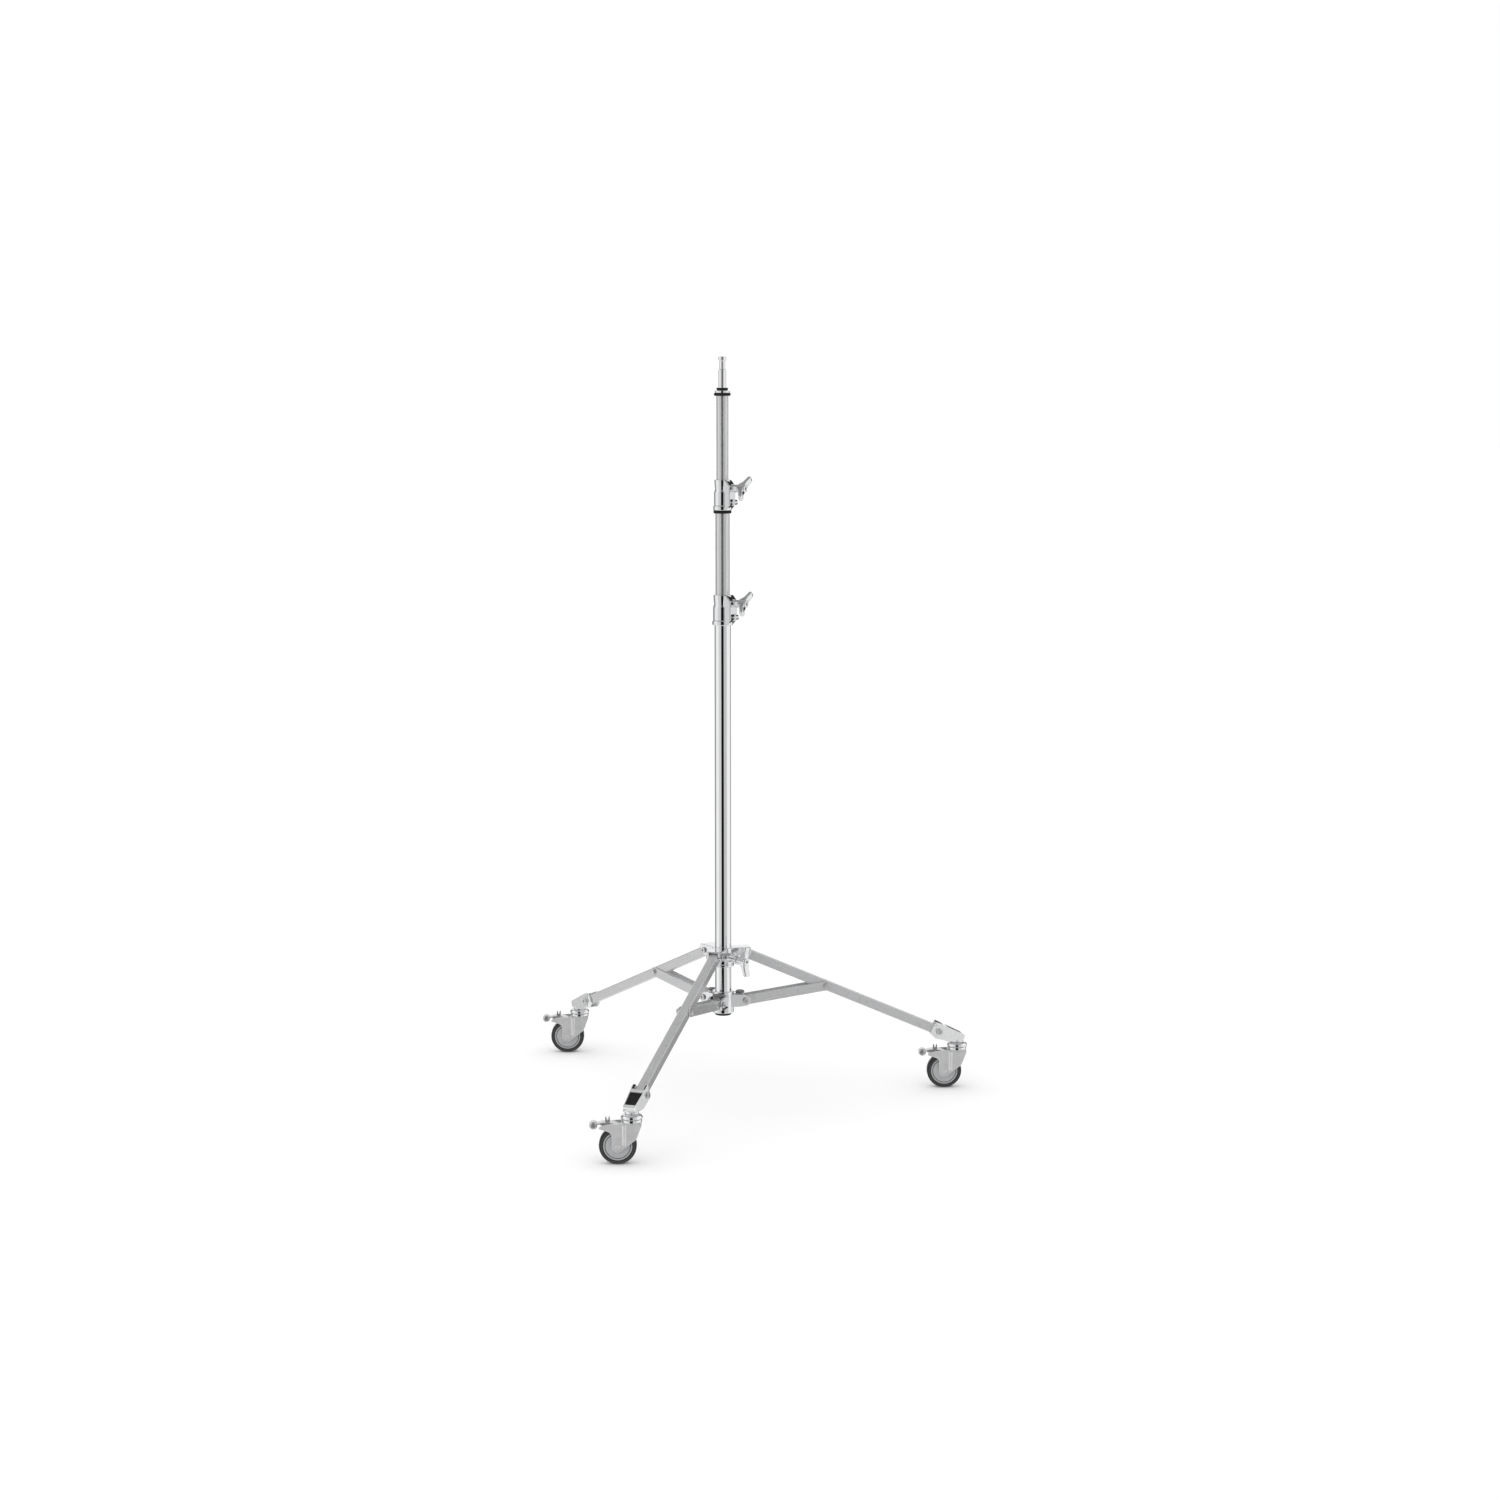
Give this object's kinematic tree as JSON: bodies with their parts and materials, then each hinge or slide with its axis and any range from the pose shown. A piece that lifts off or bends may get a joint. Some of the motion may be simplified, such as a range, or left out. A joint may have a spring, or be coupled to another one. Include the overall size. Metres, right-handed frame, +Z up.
{
  "type": "roller stand for lights",
  "caption": "Tall folding light stand: telescoping tube column with wing-knob clamps and a 16 mm spigot, on a sliding-collar tripod base with braced legs and braked swivel casters.",
  "frame": {"origin": "on the floor, under the middle of the bounding box of the stand as posed", "axes": "+Z up along the column; the front leg points to -Y, the other two legs 120 degrees apart"},
  "size_m": [0.9938, 0.8314, 1.5716],
  "materials": {
    "chrome": "bright chrome plate, mirror-like, with soft streaks along the tube",
    "satin_riser": "satin plated tube, fine drawn lines along its length",
    "satin_leg": "satin plated square tube and flat bar, soft sheen",
    "cast_alloy": "polished and plated die casting with soft rounded edges",
    "plated_steel": "bright zinc plate on pressed steel",
    "black_nylon": "black moulded nylon, slight sheen",
    "black_rubber": "matt black rubber",
    "tyre_rubber": "dark grey non-marking tread with a moulded side band",
    "grey_nylon": "light grey moulded nylon"
  },
  "bodies": {
    "root": {"column_tube": "chrome", "column_foot_plug": "black_nylon", "base_spider": "cast_alloy", "clamp_1_collar": "cast_alloy", "front_lower_pivot_pin": "plated_steel", "right_lower_pivot_pin": "plated_steel", "left_lower_pivot_pin": "plated_steel"},
    "slider": {"base_slider": "cast_alloy", "front_upper_pivot_pin": "plated_steel", "right_upper_pivot_pin": "plated_steel", "left_upper_pivot_pin": "plated_steel"},
    "base_knob": {"base_knob": "cast_alloy"},
    "clamp_1_knob": {"clamp_1_knob": "cast_alloy"},
    "riser_1": {"riser_1_tube": "satin_riser", "riser_1_glide": "grey_nylon", "clamp_2_collar": "cast_alloy", "clamp_2_bumper": "black_rubber"},
    "clamp_2_knob": {"clamp_2_knob": "cast_alloy"},
    "riser_2": {"riser_2_tube": "satin_riser", "riser_2_glide": "grey_nylon", "top_bumper": "black_rubber", "top_ferrule": "chrome", "spigot_washer": "black_nylon", "spigot": "chrome"},
    "front_leg": {"front_leg": "satin_leg"},
    "front_brace": {"front_brace": "satin_leg", "front_mid_bolt": "plated_steel", "front_mid_nut": "plated_steel"},
    "front_bracket": {"front_caster_bracket": "cast_alloy", "front_bracket_bolt": "plated_steel", "front_swivel_head": "chrome"},
    "front_fork": {"front_fork": "plated_steel", "front_axle": "plated_steel"},
    "front_wheel": {"front_tyre": "tyre_rubber", "front_wheel_core": "grey_nylon"},
    "front_pedal": {"front_brake_pedal": "plated_steel"},
    "right_leg": {"right_leg": "satin_leg"},
    "right_brace": {"right_brace": "satin_leg", "right_mid_bolt": "plated_steel", "right_mid_nut": "plated_steel"},
    "right_bracket": {"right_caster_bracket": "cast_alloy", "right_bracket_bolt": "plated_steel", "right_swivel_head": "chrome"},
    "right_fork": {"right_fork": "plated_steel", "right_axle": "plated_steel"},
    "right_wheel": {"right_tyre": "tyre_rubber", "right_wheel_core": "grey_nylon"},
    "right_pedal": {"right_brake_pedal": "plated_steel"},
    "left_leg": {"left_leg": "satin_leg"},
    "left_brace": {"left_brace": "satin_leg", "left_mid_bolt": "plated_steel", "left_mid_nut": "plated_steel"},
    "left_bracket": {"left_caster_bracket": "cast_alloy", "left_bracket_bolt": "plated_steel", "left_swivel_head": "chrome"},
    "left_fork": {"left_fork": "plated_steel", "left_axle": "plated_steel"},
    "left_wheel": {"left_tyre": "tyre_rubber", "left_wheel_core": "grey_nylon"},
    "left_pedal": {"left_brake_pedal": "plated_steel"}
  },
  "joints": [
    {"name": "base_slide", "type": "slide", "parent": "root", "child": "slider", "axis": [0, 0, 1], "range_m": [0, 0.2672]},
    {"name": "base_knob_turn", "type": "hinge", "parent": "slider", "child": "base_knob", "pos_m": [0.07364, 0.1098, 0.30969], "axis": [0.866, -0.5, 0], "range_deg": [0, 270]},
    {"name": "clamp_1_knob_turn", "type": "hinge", "parent": "root", "child": "clamp_1_knob", "pos_m": [0.05813, 0.13298, 1.06219], "axis": [0.9945, -0.1045, 0], "range_deg": [0, 270]},
    {"name": "riser_1_slide", "type": "slide", "parent": "root", "child": "riser_1", "axis": [0, 0, 1], "range_m": [-0.1687, 0.56]},
    {"name": "clamp_2_knob_turn", "type": "hinge", "parent": "riser_1", "child": "clamp_2_knob", "pos_m": [0.05565, 0.13324, 1.30129], "axis": [0.9945, -0.1045, 0], "range_deg": [0, 270]},
    {"name": "riser_2_slide", "type": "slide", "parent": "riser_1", "child": "riser_2", "axis": [0, 0, 1], "range_m": [-0.1717, 0.58]},
    {"name": "front_leg_fold", "type": "hinge", "parent": "slider", "child": "front_leg", "pos_m": [0.028, 0.09015, 0.31669], "axis": [1, 0, 0], "range_deg": [0, 61]},
    {"name": "front_brace_fold", "type": "hinge", "parent": "root", "child": "front_brace", "pos_m": [0.028, 0.09015, 0.21419], "axis": [-1, 0, 0], "range_deg": [0, 76.86]},
    {"name": "front_bracket_tilt", "type": "hinge", "parent": "front_leg", "child": "front_bracket", "pos_m": [0.028, -0.33485, 0.12746], "axis": [-1, 0, 0], "range_deg": [0, 61]},
    {"name": "front_swivel", "type": "hinge", "parent": "front_bracket", "child": "front_fork", "pos_m": [0.028, -0.37785, 0.09236], "axis": [0, 0, 1], "continuous": true},
    {"name": "front_wheel_roll", "type": "hinge", "parent": "front_fork", "child": "front_wheel", "pos_m": [0.00224, -0.38748, 0.03726], "axis": [-0.3502, 0.9367, 0], "continuous": true},
    {"name": "front_brake_press", "type": "hinge", "parent": "front_fork", "child": "front_pedal", "pos_m": [0.01489, -0.38275, 0.07796], "axis": [0.3502, -0.9367, 0], "range_deg": [0, 8]},
    {"name": "right_leg_fold", "type": "hinge", "parent": "slider", "child": "right_leg", "pos_m": [0.06784, 0.15915, 0.31669], "axis": [-0.5, 0.866, 0], "range_deg": [0, 61]},
    {"name": "right_brace_fold", "type": "hinge", "parent": "root", "child": "right_brace", "pos_m": [0.06784, 0.15915, 0.21419], "axis": [0.5, -0.866, 0], "range_deg": [0, 76.86]},
    {"name": "right_bracket_tilt", "type": "hinge", "parent": "right_leg", "child": "right_bracket", "pos_m": [0.4359, 0.37165, 0.12746], "axis": [0.5, -0.866, 0], "range_deg": [0, 61]},
    {"name": "right_swivel", "type": "hinge", "parent": "right_bracket", "child": "right_fork", "pos_m": [0.47314, 0.39315, 0.09236], "axis": [0, 0, 1], "continuous": true},
    {"name": "right_wheel_roll", "type": "hinge", "parent": "right_fork", "child": "right_wheel", "pos_m": [0.44738, 0.38352, 0.03726], "axis": [-0.3502, 0.9367, 0], "continuous": true},
    {"name": "right_brake_press", "type": "hinge", "parent": "right_fork", "child": "right_pedal", "pos_m": [0.46002, 0.38825, 0.07796], "axis": [0.3502, -0.9367, 0], "range_deg": [0, 8]},
    {"name": "left_leg_fold", "type": "hinge", "parent": "slider", "child": "left_leg", "pos_m": [-0.01184, 0.15915, 0.31669], "axis": [-0.5, -0.866, 0], "range_deg": [0, 61]},
    {"name": "left_brace_fold", "type": "hinge", "parent": "root", "child": "left_brace", "pos_m": [-0.01184, 0.15915, 0.21419], "axis": [0.5, 0.866, 0], "range_deg": [0, 76.86]},
    {"name": "left_bracket_tilt", "type": "hinge", "parent": "left_leg", "child": "left_bracket", "pos_m": [-0.3799, 0.37165, 0.12746], "axis": [0.5, 0.866, 0], "range_deg": [0, 61]},
    {"name": "left_swivel", "type": "hinge", "parent": "left_bracket", "child": "left_fork", "pos_m": [-0.41714, 0.39315, 0.09236], "axis": [0, 0, 1], "continuous": true},
    {"name": "left_wheel_roll", "type": "hinge", "parent": "left_fork", "child": "left_wheel", "pos_m": [-0.4429, 0.38352, 0.03726], "axis": [-0.3502, 0.9367, 0], "continuous": true},
    {"name": "left_brake_press", "type": "hinge", "parent": "left_fork", "child": "left_pedal", "pos_m": [-0.43025, 0.38825, 0.07796], "axis": [0.3502, -0.9367, 0], "range_deg": [0, 8]}
  ],
  "couplings": [
    {"joint": "front_leg_fold", "follows": "base_slide", "rad_per_m": 3.9832},
    {"joint": "front_brace_fold", "follows": "base_slide", "rad_per_m": 5.0187},
    {"joint": "front_bracket_tilt", "follows": "base_slide", "rad_per_m": 3.9832},
    {"joint": "right_leg_fold", "follows": "base_slide", "rad_per_m": 3.9832},
    {"joint": "right_brace_fold", "follows": "base_slide", "rad_per_m": 5.0187},
    {"joint": "right_bracket_tilt", "follows": "base_slide", "rad_per_m": 3.9832},
    {"joint": "left_leg_fold", "follows": "base_slide", "rad_per_m": 3.9832},
    {"joint": "left_brace_fold", "follows": "base_slide", "rad_per_m": 5.0187},
    {"joint": "left_bracket_tilt", "follows": "base_slide", "rad_per_m": 3.9832}
  ]
}
